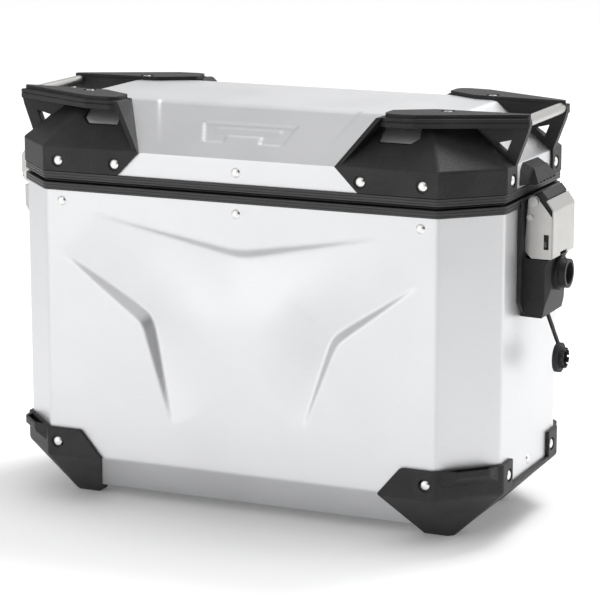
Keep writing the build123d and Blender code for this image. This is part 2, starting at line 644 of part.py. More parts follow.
# --- dust cap on its tether ------------------------------------------------------------
cap_x = wall_x + 28
cap_z = 152.0
cap = rod((cap_x - 2.5, 0, cap_z), (1, 0, 0), 13.5, 4.5)
cap = cap + rod((cap_x + 2, 0, cap_z), (1, 0, 0), bore_radius - 0.5, plug_length)
cap = cap - rod((cap_x + 2.5, 0, cap_z), (1, 0, 0), bore_radius - 2.5, plug_length + 1)
for angle in range(0, 180, 45):
    notch = Box(4, 2 * bore_radius, 2.2, align=(Align.MIN, Align.CENTER, Align.CENTER))
    cap = cap - Pos(cap_x + plug_length, 0, cap_z) * Rot(angle, 0, 0) * notch
strap = front_prism([(wall_x + 12.5, housing_low_z + 5), (wall_x + 12.5 + strap_sheet, housing_low_z + 5),
                     (cap_x + 0.5, cap_z + 11), (cap_x + 0.5 - strap_sheet, cap_z + 11)], -strap_half, strap_half)
save("dust_cap", (cap + strap - housing).clean())
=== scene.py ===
"""A hard aluminium side case for a motorcycle, built as a Blender add-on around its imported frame.

The pressed body and lid, the edge frames, the seal and the rivets are surfaces worked out with numpy.
The moulded and folded parts are copies of the frame's own pieces, merged and with rounded edges. The
turned parts are the frame's own pieces. Metres, +X right, +Y back, +Z up.
"""

import json
import math

import bmesh
import bpy
import numpy as np
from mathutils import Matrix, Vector


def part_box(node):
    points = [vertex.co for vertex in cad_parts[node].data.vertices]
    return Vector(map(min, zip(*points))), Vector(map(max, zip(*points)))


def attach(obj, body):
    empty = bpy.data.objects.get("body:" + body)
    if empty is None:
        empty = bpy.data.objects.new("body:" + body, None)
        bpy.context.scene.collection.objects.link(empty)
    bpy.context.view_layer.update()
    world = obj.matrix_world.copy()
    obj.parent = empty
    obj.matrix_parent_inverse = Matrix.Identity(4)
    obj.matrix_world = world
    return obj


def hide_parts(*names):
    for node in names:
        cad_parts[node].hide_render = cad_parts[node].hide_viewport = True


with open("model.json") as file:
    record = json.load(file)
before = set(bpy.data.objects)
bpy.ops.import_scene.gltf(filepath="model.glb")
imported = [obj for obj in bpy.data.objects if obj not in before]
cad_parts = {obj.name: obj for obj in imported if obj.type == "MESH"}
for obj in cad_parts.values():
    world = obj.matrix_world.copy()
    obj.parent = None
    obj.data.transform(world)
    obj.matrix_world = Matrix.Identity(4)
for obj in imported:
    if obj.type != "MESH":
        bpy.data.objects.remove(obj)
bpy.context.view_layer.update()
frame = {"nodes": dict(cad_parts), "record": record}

bl_info = {
    "name": "Aluminium side case",
    "version": (1, 0, 0),
    "blender": (4, 5, 0),
    "location": "3D View > Sidebar > Side case",
    "description": "Builds a hard motorcycle luggage case with its lid, guards, latch and lock",
    "category": "Object",
}

MM = 0.001
ROOT_TWO = math.sqrt(2)
BODY_LOW, BODY_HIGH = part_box("body_shell")
LID_LOW, LID_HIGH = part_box("lid_shell")
BODY_RIM_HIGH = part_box("body_rim")[1]
LID_RIM_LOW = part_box("lid_rim")[0]
SEAL_LOW, SEAL_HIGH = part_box("lid_seal")
CENTRE_X = (BODY_LOW.x + BODY_HIGH.x) / 2
HALF_X = (BODY_HIGH.x - BODY_LOW.x) / 2
HALF_Y = (BODY_HIGH.y - BODY_LOW.y) / 2
FULL_TURN = 2 * math.pi
EIGHTH = math.pi / 4
WELD = 2e-6


# --- sizes and colours a user would change ---------------------------------------------
def length(name, description, default):
    """A length property in metres."""
    return bpy.props.FloatProperty(name=name, description=description, default=default,
                                   unit="LENGTH", precision=5)


def colour(name, description, default):
    """A linear colour property."""
    return bpy.props.FloatVectorProperty(name=name, description=description, default=default,
                                         size=3, min=0.0, max=1.0, subtype="COLOR")


def amount(name, description, default):
    """A plain number property."""
    return bpy.props.FloatProperty(name=name, description=description, default=default)


class PanelSizes(bpy.types.PropertyGroup):
    """Sizes of the pressed body and lid"""

    corner_cut: length("Corner cut", "Length cut off each upright corner", 44.6 * MM)
    corner_radius: length("Corner radius", "Radius of the upright folds", 7 * MM)
    fold_radius: length("Fold radius", "Radius of the level folds", 5 * MM)
    lid_lower_radius: length("Lid lower fold", "Radius of the fold under the lid's slope", 1.6 * MM)
    lid_upper_radius: length("Lid upper fold", "Radius of the fold above the lid's slope", 9 * MM)
    wall: length("Wall", "Thickness of the sheet", 1.4 * MM)
    bend_z: length("Body bend", "Height where the bottom slope starts", 47.3 * MM)
    bottom_inset: length("Bottom inset", "How far the bottom slope runs in", 41 * MM)
    lid_bend_z: length("Lid bend", "Height where the lid slope starts", 336.4 * MM)
    lid_inset_x: length("Lid end inset", "How far the lid's end slopes run in", 52 * MM)
    lid_inset_y: length("Lid face inset", "How far the lid's long slopes run in", 46.9 * MM)
    lid_corner_top: length("Lid top corner cut", "Corner cut at the top of the lid", 19.5 * MM)
    rivet_dome: length("Rivet dome", "Height of a rivet's head", 1.6 * MM)
    shank: length("Rivet shank", "Radius of a rivet's shank", 2 * MM)
    crease_depth: length("Crease depth", "Depth of the pressed creases at their knees", 9.2 * MM)
    crease_width: length("Crease width", "Width of the pressed creases at their knees", 10.5 * MM)
    field_depth: length("Field depth", "Depth of the lid's sunk field at its top", 1.5 * MM)


class FinishColours(bpy.types.PropertyGroup):
    """Base colours of the finishes"""

    aluminium: colour("Aluminium", "Satin sheet", (0.715, 0.718, 0.728))
    rivet: colour("Rivets", "Bare aluminium rivets", (0.82, 0.82, 0.80))
    steel: colour("Steel", "Plated fasteners", (0.58, 0.58, 0.57))
    stainless: colour("Stainless", "Brushed latch and bars", (0.46, 0.455, 0.44))
    plastic: colour("Plastic", "Grained black mouldings", (0.0135, 0.0135, 0.0145))
    rim: colour("Edge frame", "Extruded edge frames", (0.032, 0.032, 0.033))
    rubber: colour("Rubber", "Seal and dust cap", (0.010, 0.010, 0.011))
    floor: colour("Floor", "Studio floor", (0.87, 0.87, 0.87))


class StageSizes(bpy.types.PropertyGroup):
    """Camera and lights"""

    lens: amount("Lens", "Camera lens in millimetres", 155.54)
    camera_x: length("Camera X", "Camera position", 971.51 * MM)
    camera_y: length("Camera Y", "Camera position", -2164.45 * MM)
    camera_z: length("Camera Z", "Camera position", 694.11 * MM)
    yaw: amount("Yaw", "Camera turn to the left in degrees", 24.02)
    pitch: amount("Pitch", "Camera tilt down in degrees", 12.07)
    key_power: amount("Key light", "Power of the light above and behind", 42.0)
    front_power: amount("Front light", "Power of the light low in front", 9.0)
    side_power: amount("Side light", "Power of the light at the right", 5.0)
    sky: amount("Sky", "Brightness of the white surroundings", 1.0)


# --- shader maths ----------------------------------------------------------------------
class Wave:
    """A shader socket that Python arithmetic turns into Math nodes."""

    def __init__(self, sheet, socket):
        self.sheet = sheet
        self.socket = socket

    def _math(self, operation, first, second):
        return self.sheet.node("ShaderNodeMath", {"operation": operation}, {0: first, 1: second})

    def __add__(self, other):
        return self._math("ADD", self, other)

    def __mul__(self, other):
        return self._math("MULTIPLY", self, other)


class Sheet:
    """One material being written: its nodes, its principled shader and its object coordinates."""

    def __init__(self, name):
        self.material = bpy.data.materials.new(name)
        self.material.use_nodes = True
        self.tree = self.material.node_tree
        self.shader = self.tree.nodes["Principled BSDF"]
        self.place = self.node("ShaderNodeTexCoord", {}, {}, "Object")

    def node(self, kind, settings, inputs, output=0):
        """Add any node: settings first, then each input's value or link. Returns one output."""
        made = self.tree.nodes.new(kind)
        for key, value in settings.items():
            setattr(made, key, value)
        for key, value in inputs.items():
            self.feed(made.inputs[key], value)
        return Wave(self, made.outputs[output])

    def feed(self, socket, value):
        """Link a wave to a socket, or set the socket's own value."""
        if isinstance(value, Wave):
            self.tree.links.new(value.socket, socket)
        else:
            socket.default_value = value

    def noise(self, scale, detail=3.0, stretch=(1, 1, 1)):
        """Noise on object coordinates, scale in features per metre, with each axis stretched."""
        place = self.node("ShaderNodeMapping", {}, {"Vector": self.place, "Scale": stretch})
        return self.node("ShaderNodeTexNoise", {}, {"Vector": place, "Scale": scale, "Detail": detail})

    def cells(self, scale):
        """Distance to the nearest of many scattered points, in features per metre."""
        return self.node("ShaderNodeTexVoronoi", {}, {"Vector": self.place, "Scale": scale})

    def span(self, value, low, high, to_low, to_high):
        """Carry a value from one range to another, held at both ends."""
        settings = {"clamp": True, "interpolation_type": "SMOOTHSTEP"}
        inputs = {0: value, 1: low, 2: high, 3: to_low, 4: to_high}
        return self.node("ShaderNodeMapRange", settings, inputs)

    def blend(self, factor, first, second):
        """Mix two colours."""
        made = self.tree.nodes.new("ShaderNodeMix")
        made.data_type = "RGBA"
        self.feed(made.inputs["Factor"], factor)
        self.feed(made.inputs[6], first if isinstance(first, Wave) else (*first, 1.0))
        self.feed(made.inputs[7], second if isinstance(second, Wave) else (*second, 1.0))
        return Wave(self, made.outputs[2])

    def bump(self, height, distance):
        """A height in the shader's normal: distance is its full depth in metres."""
        inputs = {"Height": height, "Distance": distance, "Strength": 1.0}
        made = self.node("ShaderNodeBump", {}, inputs)
        self.feed(self.shader.inputs["Normal"], made)

    def set(self, **values):
        """Feed the principled shader's sockets by name, with spaces written as underscores."""
        for key, value in values.items():
            if isinstance(value, tuple):
                value = (*value, 1.0)
            self.feed(self.shader.inputs[key.replace("_", " ")], value)
        return self.material


def tinted(colour_value, share):
    """A colour made lighter or darker by a share."""
    return tuple(min(1.0, channel * share) for channel in colour_value)


def satin_aluminium(colour_value):
    """Bead-blasted, anodised sheet: a fine sparkle in the bump and slow drifts in the roughness."""
    sheet = Sheet("satin_aluminium")
    blast = sheet.noise(2600, 2.0)
    drift = sheet.noise(9, 2.0)
    rolled = sheet.noise(120, 2.0, (1, 1, 6))
    tone = sheet.span(drift + rolled * 0.25, 0.45, 0.8, 0.0, 1.0)
    sheet.bump(blast, 0.00006)
    rough = sheet.span(drift * 0.6 + blast * 0.4, 0.3, 0.7, 0.40, 0.47)
    base = sheet.blend(tone, tinted(colour_value, 0.97), tinted(colour_value, 1.02))
    return sheet.set(Base_Color=base, Metallic=0.92, Roughness=rough)


def turned_metal(name, colour_value, roughness):
    """Small bare metal pieces with handling marks."""
    sheet = Sheet(name)
    marks = sheet.noise(2400, 3.0)
    cloud = sheet.noise(180, 3.0)
    base = sheet.blend(sheet.span(cloud, 0.35, 0.7, 0, 1), tinted(colour_value, 0.95), colour_value)
    sheet.bump(marks, 0.00002)
    rough = sheet.span(marks, 0.3, 0.75, roughness - 0.03, roughness + 0.05)
    return sheet.set(Base_Color=base, Metallic=1.0, Roughness=rough)


def brushed_stainless(colour_value):
    """Fine brushed lines that run up the piece, over a slow cloud."""
    sheet = Sheet("brushed_stainless")
    lines = sheet.noise(3200, 2.0, (1.0, 1.0, 0.05))
    cloud = sheet.noise(60, 2.0)
    streak = sheet.span(lines, 0.3, 0.7, 0, 1)
    base = sheet.blend(streak, tinted(colour_value, 0.95), tinted(colour_value, 1.04))
    sheet.bump(lines, 0.000012)
    rough = sheet.span(lines * 0.4 + cloud * 0.6, 0.3, 0.7, 0.30, 0.38)
    return sheet.set(Base_Color=base, Metallic=1.0, Roughness=rough)


def grained_plastic(colour_value):
    """Glass-filled black moulding with a leather-like grain and paler rubbed patches."""
    sheet = Sheet("grained_plastic")
    grain = sheet.cells(950)
    fine = sheet.noise(2300, 2.0)
    cloud = sheet.noise(26, 3.0)
    speck = sheet.noise(700, 3.0)
    rubbed = sheet.span(cloud * 0.6 + speck * 0.4, 0.42, 0.62, 0, 1)
    sheet.bump(grain * 0.7 + fine * 0.5, 0.00026)
    base = sheet.blend(rubbed, tinted(colour_value, 0.85), tinted(colour_value, 1.7))
    rough = sheet.span(grain + cloud * 0.4, 0.2, 0.9, 0.43, 0.56)
    return sheet.set(Base_Color=base, Metallic=0.0, Roughness=rough, Specular_IOR_Level=0.38)


def extruded_black(colour_value):
    """Black extruded edge frame: faint lines along its length."""
    sheet = Sheet("extruded_black")
    lines = sheet.noise(2200, 2.0, (0.02, 0.02, 1.0))
    dust = sheet.noise(900, 3.0)
    sheet.bump(lines * 0.6 + dust * 0.3, 0.0001)
    streak = sheet.span(lines, 0.35, 0.7, 0, 1)
    base = sheet.blend(streak, tinted(colour_value, 0.8), tinted(colour_value, 1.35))
    rough = sheet.span(dust, 0.3, 0.7, 0.38, 0.50)
    return sheet.set(Base_Color=base, Metallic=0.0, Roughness=rough)


def soft_rubber(colour_value):
    """Matte rubber with a fine tooth."""
    sheet = Sheet("soft_rubber")
    tooth = sheet.noise(1800, 3.0)
    sheet.bump(tooth, 0.00012)
    cloud = sheet.span(sheet.noise(40), 0.4, 0.7, 0, 1)
    base = sheet.blend(cloud, colour_value, tinted(colour_value, 1.6))
    return sheet.set(Base_Color=base, Roughness=sheet.span(tooth, 0.3, 0.7, 0.62, 0.75))


def pale_floor(colour_value):
    """Plain pale floor with the slightest unevenness. It glows with painted light, but for an oval of
    painted shadow under the case, so that the shadow there stays deep."""
    sheet = Sheet("pale_floor")
    cloud = sheet.noise(1.5, 2.0)
    base = sheet.blend(cloud, tinted(colour_value, 0.99), tinted(colour_value, 1.01))
    # Painted shadow: the floor's painted glow falls to a quarter in an oval under the case.
    shadow_oval = sheet.node("ShaderNodeMapping", {}, {"Vector": sheet.place, "Scale": (2.5, 3.9, 0.0)})
    away = sheet.node("ShaderNodeVectorMath", {"operation": "LENGTH"}, {0: shadow_oval}, 1)
    painted_glow_and_shadow = sheet.blend(sheet.span(away, 0.36, 1.0, 0.0, 1.0), (0.25, 0.25, 0.25), (1.0, 1.0, 1.0))
    # The emission is painted light on the floor, carrying the painted shadow of the oval.
    return sheet.set(Base_Color=base, Roughness=0.8, Specular_IOR_Level=0.1,
                     Emission_Color=painted_glow_and_shadow, Emission_Strength=0.32)


FINISHES = {}


def make_finishes(colours):
    """Every finish, by the record's material slot."""
    FINISHES["case_aluminium"] = satin_aluminium(tuple(colours.aluminium))
    FINISHES["rivet_aluminium"] = turned_metal("rivet_aluminium", tuple(colours.rivet), 0.30)
    FINISHES["fastener_steel"] = turned_metal("fastener_steel", tuple(colours.steel), 0.34)
    FINISHES["brushed_stainless"] = brushed_stainless(tuple(colours.stainless))
    FINISHES["black_plastic"] = grained_plastic(tuple(colours.plastic))
    FINISHES["black_rim"] = extruded_black(tuple(colours.rim))
    FINISHES["black_rubber"] = soft_rubber(tuple(colours.rubber))


# --- shapes ----------------------------------------------------------------------------
def smooth_step(value):
    """3t^2 - 2t^3, with t held between 0 and 1."""
    held = np.clip(value, 0.0, 1.0)
    return held * held * (3 - 2 * held)


def climb(value, start, run):
    """A straight climb from 0 at a start to 1 a run further on, held at both ends."""
    return np.clip((value - start) / run, 0, 1)


def eased_ramp(value, ease):
    """A straight climb from 0 to 1 whose ends are eased by parabolas over a share of its length."""
    def ramp(t):
        held = np.clip(t, 0.0, ease)
        return np.where(t > ease, t - ease / 2, held * held / (2 * ease))
    return (ramp(value) - ramp(value - 1 + ease)) / (1 - ease)


def octagon_columns(front, side, chamfer, rear, arc):
    """Columns round an octagon from the front edge to the left: each one's edge, its place along
    that edge from 0 to 1, and its share of the turn into the next edge."""
    counts = [front, chamfer, side, chamfer, rear, chamfer, side, chamfer]
    edge = np.concatenate([np.full(count + arc, index) for index, count in enumerate(counts)])
    along = np.concatenate([np.append(np.arange(count) / count, np.ones(arc)) for count in counts])
    turn = np.concatenate([np.append(np.zeros(count), np.arange(arc) / arc) for count in counts])
    return edge, along, turn


def octagon_points(columns, half_x, half_y, cut, radius):
    """Rows of points round octagons with rounded corners. Edge k has an outward normal at 45k degrees
    and its distance from the centre; a column's point is that distance less the radius along the
    normal, plus its place between the two neighbouring edges' crossings along the edge, plus the
    radius along the normal turned by its share of 45 degrees."""
    edge, along, turn = columns
    diagonal = (half_x + half_y - cut) / ROOT_TWO
    reach = np.stack([half_y, diagonal, half_x, diagonal] * 2, axis=1) - radius[:, None]
    angle = -2 * EIGHTH + edge * EIGHTH
    own = reach[:, edge]
    after = reach[:, (edge + 1) % 8]
    before = reach[:, (edge - 1) % 8]
    end = after * ROOT_TWO - own
    start = own - before * ROOT_TWO
    slide = start + (end - start) * along
    swung = angle + turn * EIGHTH
    x = own * np.cos(angle) - slide * np.sin(angle) + radius[:, None] * np.cos(swung)
    y = own * np.sin(angle) + slide * np.cos(angle) + radius[:, None] * np.sin(swung)
    return x, y


def rounded_path(corners, radii, spacing, arc_steps=6):
    """A path through corners in a plane: straight runs at about a spacing, joined by arcs. Each arc's
    centre is on the corner's bisector, and its points turn evenly about it."""
    corners = [np.array(corner, float) for corner in corners]
    runs = []
    start = corners[0]
    for before, corner, after, radius in zip(corners, corners[1:], corners[2:], radii):
        arriving = (corner - before) / np.linalg.norm(corner - before)
        leaving = (after - corner) / np.linalg.norm(after - corner)
        turn = math.acos(float(np.clip(arriving @ leaving, -1, 1)))
        setback = radius * math.tan(turn / 2)
        first, last = corner - arriving * setback, corner + leaving * setback
        runs.append(straight_run(start, first, spacing))
        middle = leaving - arriving
        centre = corner + middle / np.linalg.norm(middle) * radius / math.cos(turn / 2)
        share = np.linspace(0, 1, arc_steps + 1)[:-1, None]
        swing = (np.sin((1 - share) * turn) * (first - centre) + np.sin(share * turn) * (last - centre))
        runs.append(centre + swing / math.sin(turn))
        start = last
    runs.append(straight_run(start, corners[-1], spacing))
    runs.append(corners[-1][None])
    return np.concatenate(runs)


def straight_run(first, last, spacing):
    """Even points from the first up to but not at the last."""
    count = max(1, int(round(float(np.linalg.norm(last - first)) / spacing)))
    share = np.arange(count)[:, None] / count
    return first + (last - first) * share


def add_mesh(name, points, faces, body, slot, stands_for, sharp):
    """One piece from arrays of points and quads, smooth but for edges sharper than an angle."""
    mesh = bpy.data.meshes.new(name)
    mesh.from_pydata(points.reshape(-1, 3).tolist(), [], faces.tolist())
    work = bmesh.new()
    work.from_mesh(mesh)
    bmesh.ops.remove_doubles(work, verts=work.verts, dist=WELD / 2)
    bmesh.ops.recalc_face_normals(work, faces=work.faces)
    work.to_mesh(mesh)
    work.free()
    mesh.polygons.foreach_set("use_smooth", np.ones(len(mesh.polygons), bool))
    mesh.set_sharp_from_angle(angle=math.radians(sharp))
    piece = bpy.data.objects.new(name, mesh)
    bpy.context.scene.collection.objects.link(piece)
    return settle(piece, body, slot, stands_for)


def settle(piece, body, slot, stands_for):
    """Give a piece its finish and its body, and hide the frame pieces that it stands for."""
    piece.data.materials.clear()
    piece.data.materials.append(FINISHES[slot])
    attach(piece, body)
    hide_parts(*stands_for)
    return piece


def grid_faces(rows, columns, wrap_rows=False):
    """Quads of a grid of points whose rows are closed: each joins a point, its neighbour, and the two
    in the next row."""
    row = np.arange(rows if wrap_rows else rows - 1)[:, None]
    column = np.arange(columns)[None, :]
    next_row = (row + 1) % rows
    next_column = (column + 1) % columns
    corners = [row * columns + column, row * columns + next_column,
               next_row * columns + next_column, next_row * columns + column]
    shape = (row.size, column.size)
    return np.stack([np.broadcast_to(corner, shape) for corner in corners], axis=-1).reshape(-1, 4)


def edge_room(edge):
    """The least room across the faces beside an edge: the length of each edge that leaves one of its
    ends, times the sine of the angle between the two."""
    rooms = []
    for loop in edge.link_loops:
        after = loop.link_loop_next
        for corner, leaving in ((loop, loop.link_loop_prev.edge), (after, after.edge)):
            rooms.append(leaving.calc_length() * abs(math.sin(corner.calc_angle())))
    return min(rooms, default=0.0)


FLAT_FOLD = 0.5
GENTLE_FOLD = 14
SQUARE_FOLD = 62
ROOM_SHARE = 0.4


def rounded_copy(node, name, fold, rim):
    """A copy of a frame piece: its triangles merged into flat faces, its gentle folds rounded widely and
    its square rims narrowly. A bevel weight is the share of the wide rounding that an edge gets, held
    to a share of the room beside the edge."""
    mesh = frame["nodes"][node].data.copy()
    mesh.name = name
    work = bmesh.new()
    work.from_mesh(mesh)
    bmesh.ops.remove_doubles(work, verts=work.verts, dist=WELD)
    flat = math.radians(FLAT_FOLD)
    bmesh.ops.dissolve_limit(work, angle_limit=flat, verts=work.verts, edges=work.edges)
    weights = work.edges.layers.float.new("bevel_weight_edge")
    for edge in work.edges:
        turn = math.degrees(edge.calc_face_angle_signed(0.0))
        if abs(turn) > GENTLE_FOLD:
            wanted = fold if GENTLE_FOLD < turn < SQUARE_FOLD else rim
            edge[weights] = min(wanted, ROOM_SHARE * edge_room(edge)) / fold
    work.to_mesh(mesh)
    work.free()
    mesh.polygons.foreach_set("use_smooth", np.ones(len(mesh.polygons), bool))
    mesh.set_sharp_from_angle(angle=math.radians(GENTLE_FOLD))
    piece = bpy.data.objects.new(name, mesh)
    bpy.context.scene.collection.objects.link(piece)
    bevel = piece.modifiers.new("rounded_edges", "BEVEL")
    bevel.width = fold
    bevel.segments = 3
    bevel.limit_method = "WEIGHT"
    bevel.harden_normals = True
    bevel.use_clamp_overlap = False
    return settle(piece, node_body(node), node_slot(node), (node,))


def loose_pieces(node):
    """The low and high corners of each separate solid in a frame piece, by flood fill over its edges,
    in the order of their low corners."""
    work = bmesh.new()
    work.from_mesh(frame["nodes"][node].data)
    bmesh.ops.remove_doubles(work, verts=work.verts, dist=WELD)
    waiting, corners = set(work.verts), []
    while waiting:
        front = [waiting.pop()]
        places = []
        while front:
            vert = front.pop()
            places.append(tuple(vert.co))
            near = {edge.other_vert(vert) for edge in vert.link_edges} & waiting
            waiting -= near
            front.extend(near)
        corners.append((np.min(places, axis=0), np.max(places, axis=0)))
    work.free()
    return sorted(corners, key=lambda pair: tuple(pair[0]))


DOME_POWER = 0.6


def rivet_heads(node, sizes):
    """Smooth domed rivets in place of a frame piece's. A dome's height over its radius r is
    h (1 - (r/R)^2)^0.6, and each is turned about the one axis along which its solid's size differs."""
    around, rings = 32, 9
    turn = np.linspace(0, FULL_TURN, around + 1)[:-1]
    points, faces = [], []
    for low, high in loose_pieces(node):
        extent = high - low
        axis = int(np.argmax(np.abs(extent - np.median(extent))))
        second, third = (axis + 1) % 3, (axis + 2) % 3
        outward = 1 if (high + low)[axis] > 0 else -1
        head = max(extent[second], extent[third]) / 2
        share = np.sin(np.linspace(0, math.pi / 2, rings))
        reach = np.concatenate([head * share, [head, sizes.shank, sizes.shank, 0]])
        tall = sizes.rivet_dome
        length = extent[axis]
        depth = tall * (1 - share ** 2) ** DOME_POWER - tall
        depth = np.concatenate([depth, [-tall, -tall, -length, -length]])
        base = high[axis] if outward > 0 else low[axis]
        middle = (low + high) / 2
        grid = np.zeros((reach.size, around, 3))
        grid[..., axis] = base + outward * depth[:, None]
        grid[..., second] = middle[second] + reach[:, None] * np.cos(turn)
        grid[..., third] = middle[third] + reach[:, None] * np.sin(turn)
        faces.append(grid_faces(reach.size, around) + sum(len(done) for done in points))
        points.append(grid.reshape(-1, 3))
    add_mesh(f"{node}_domes", np.concatenate(points), np.concatenate(faces),
             node_body(node), node_slot(node), [node], 50)


def node_body(node):
    """The body that a frame piece belongs to."""
    bodies = frame["record"]["behaviour"]["bodies"]
    return next(body for body, members in bodies.items() if node in members)


def node_slot(node):
    """The material slot that the record gives a frame piece."""
    return next(part["material_slot"] for part in frame["record"]["subparts"] if part["node"] == node)


def sheet_wall(piece, thickness):
    """Give a surface its sheet thickness, inward."""
    wall = piece.modifiers.new("sheet", "SOLIDIFY")
    wall.thickness = thickness
    wall.offset = -1
    wall.use_even_offset = True


# --- pressed creases -------------------------------------------------------------------
CREASE_DATUM = 3.5 * MM
CREASE_CENTRE = (0.0, 165 * MM)
CREASES = (
    ((2 * MM, 251 * MM), (-134 * MM, 272 * MM), (150 * MM, 273.5 * MM)),
    ((-97 * MM, 174 * MM), (-175 * MM, 232 * MM), (-66 * MM, 78 * MM)),
    ((99 * MM, 171 * MM), (168 * MM, 225 * MM), (62 * MM, 80 * MM)),
)
CREASE_SOFTNESS = 1.6 * MM
CREASE_NARROWEST = 0.4 * MM
CREASE_EASE = 0.22
CREASE_FADE = 75 * MM


def crease(x, z, knee, first_end, second_end, inside, width, depth):
    """Depth of one pressed crease: a bent band between two ends, widest at its knee. Across the band
    the sheet steps in by an eased ramp, and past it the step fades out. The distance from the band's
    outer edge is the smooth maximum of the distances from the two arms' lines, and the band's width
    falls evenly from the knee to each end."""
    knee = np.array(knee, float)
    distances, lengths = [], []
    for end in (first_end, second_end):
        arm = np.array(end, float) - knee
        lengths.append(np.linalg.norm(arm))
        across = np.array([-arm[1], arm[0]]) / lengths[-1]
        if across @ (np.array(inside, float) - knee) < 0:
            across = -across
        distances.append((x - knee[0]) * across[0] + (z - knee[1]) * across[1])
    soft = CREASE_SOFTNESS
    from_edge = soft * np.logaddexp(distances[0] / soft, distances[1] / soft)
    from_edge -= soft * math.log(2)
    away = np.hypot(x - knee[0], z - knee[1])
    on_first = distances[0] > distances[1]
    share = 1 - away / np.where(on_first, lengths[1], lengths[0])
    share = np.clip(share, 0.0, 1.0)
    band = np.maximum(width * share, CREASE_NARROWEST)
    step = eased_ramp(from_edge / band, CREASE_EASE)
    fade = 1 - smooth_step((from_edge - band) / CREASE_FADE)
    return depth * share * step * fade


def pressed_front(x, z, sizes):
    """The three creases of the front: one hangs from the top, one stands on each side. Their heights
    are measured from a datum a little under the body's floor."""
    width, depth = sizes.crease_width, sizes.crease_depth
    z = z - BODY_LOW.z + CREASE_DATUM
    return sum(crease(x, z, *points, CREASE_CENTRE, width, depth) for points in CREASES)


def body_panels(sizes):
    """The folded body. Rows climb from the middle of the floor, out to the bottom fold, up the slope
    and up the walls; each row is an octagon with rounded corners, and the front is pressed in."""
    low, bend, top = BODY_LOW.z, sizes.bend_z, BODY_HIGH.z
    floor_in = sizes.bottom_inset + 12 * MM
    wall_z = bend + 8 * MM
    slope = rounded_path([(floor_in, low), (sizes.bottom_inset, low), (0, bend), (0, wall_z)],
                         (sizes.fold_radius, sizes.fold_radius), 6 * MM)
    rise = np.linspace(wall_z, top, 112)[1:]
    inset = np.append(slope[:, 0], np.zeros(rise.size))
    height = np.append(slope[:, 1], rise)
    floor_rows = 8
    share = np.append(np.linspace(0, 1, floor_rows + 1)[:-1], np.ones(inset.size))
    inset = np.append(np.full(floor_rows, floor_in), inset)
    height = np.append(np.full(floor_rows, low), height)
    half_x = (HALF_X - inset) * share
    half_y = (HALF_Y - inset) * share
    cut = (sizes.corner_cut - inset * (2 - ROOT_TWO)) * share
    radius = sizes.corner_radius * share
    columns = octagon_columns(front=168, side=12, chamfer=4, rear=28, arc=5)
    x, y = octagon_points(columns, half_x, half_y, cut, radius)
    z = np.broadcast_to(height[:, None], x.shape)
    on_front = (columns[0][None] == 0) & (columns[2][None] == 0) & (z > bend + 6 * MM)
    y = y + np.where(on_front, pressed_front(x, z, sizes), 0)
    points = np.stack([x + CENTRE_X, y, z], axis=-1)
    faces = grid_faces(*x.shape)
    piece = add_mesh("body_panels", points, faces, "case", "case_aluminium", ["body_shell"], 60)
    sheet_wall(piece, sizes.wall)


SLOPE_LENGTH = 63.1 * MM
FIELD_LOW_HALF = 78 * MM
FIELD_FLARE = 21 * MM
FIELD_BLUR = 3.6 * MM
BADGE_BLUR = 1.2 * MM
BADGE_LOW_HALF = 39 * MM
BADGE_FLARE = 8 * MM
BADGE_LOW, BADGE_HIGH = 19 * MM, 43 * MM
BADGE_DEPTH = 1.5 * MM
NOTCH_X, NOTCH_HALF, NOTCH_TOP = -1 * MM, 17 * MM, 27 * MM
BAR_HALF_LENGTH, BAR_HALF_HEIGHT, BAR_RISE = 33 * MM, 3.2 * MM, 35 * MM
BAR_PROUD = 0.8 * MM


def lid_press(x, up, sizes):
    """How far the lid's front slope is pressed in, by place across and share up the slope: a field that
    sinks as it climbs between two edges that run outward, and in it a stepped pocket for a badge with
    a low bar on its floor."""
    def past(value):
        return smooth_step(value / BADGE_BLUR)

    rise = up * SLOPE_LENGTH
    edge = FIELD_LOW_HALF + FIELD_FLARE * climb(up, 0.12, 0.88)
    inside = smooth_step((edge - np.abs(x)) / FIELD_BLUR + 0.5)
    field = sizes.field_depth * inside * climb(up, 0.04, 0.9)
    half = BADGE_LOW_HALF + BADGE_FLARE * climb(up, 0.3, 0.4)
    across = past(half - np.abs(x))
    band = past(rise - BADGE_LOW) * past(BADGE_HIGH - rise)
    notch = past(np.abs(x - NOTCH_X) - NOTCH_HALF)
    badge = BADGE_DEPTH * across * band * np.maximum(notch, past(rise - NOTCH_TOP))
    bar = past(BAR_HALF_LENGTH - np.abs(x)) * past(BAR_HALF_HEIGHT - np.abs(rise - BAR_RISE))
    return field + badge - BAR_PROUD * bar * across


